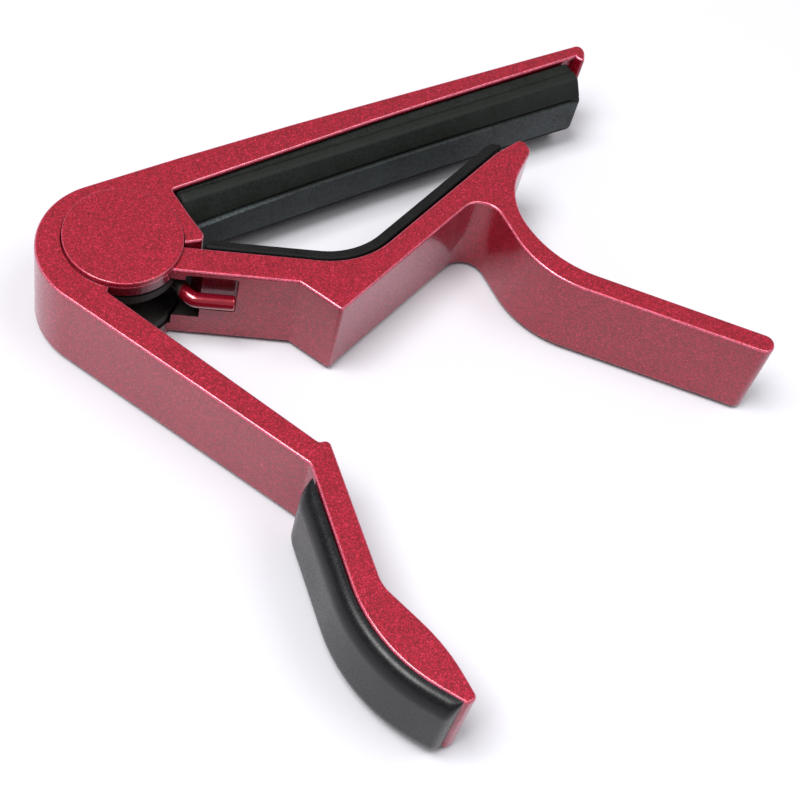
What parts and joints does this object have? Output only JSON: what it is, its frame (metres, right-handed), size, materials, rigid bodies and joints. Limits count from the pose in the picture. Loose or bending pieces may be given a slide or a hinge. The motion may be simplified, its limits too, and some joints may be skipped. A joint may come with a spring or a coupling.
{
  "type": "guitar capo",
  "caption": "Trigger-type guitar capo: string bar with rubber pad and handle, hinged sprung jaw with neck pad and trigger, lying on its side.",
  "frame": {"origin": "on the pivot axis, at the outer face of the lower pivot cap, which the capo lies on", "axes": "+Z along the pivot axis, up from the face it lies on; +X along the string bar away from the pivot; the string pad faces -Y and the handle runs towards -Y"},
  "size_m": [0.083, 0.0786, 0.0138],
  "materials": {
    "paint": "crimson metallic flake paint on die-cast metal",
    "steel": "bright plated steel",
    "nylon": "natural nylon",
    "rubber": "moulded black rubber, satin"
  },
  "bodies": {
    "frame": {"frame": "paint", "string_pad": "rubber", "handle_grip": "rubber", "spring_sleeve": "nylon", "thrust_washer_upper": "nylon", "thrust_washer_lower": "nylon", "torsion_spring": "steel"},
    "jaw": {"jaw": "paint", "neck_pad": "rubber", "pivot_cap_upper": "paint", "pivot_cap_lower": "paint", "pivot_pin": "steel", "retaining_ring": "steel"}
  },
  "joints": [
    {"name": "jaw_pivot", "type": "hinge", "parent": "frame", "child": "jaw", "pos_m": [0, 0, 0.0069], "axis": [0, 0, -1], "range_deg": [0, 34], "stiffness_Nm_per_rad": 0.4, "springref_deg": -57.3, "deforming": ["torsion_spring"]}
  ]
}
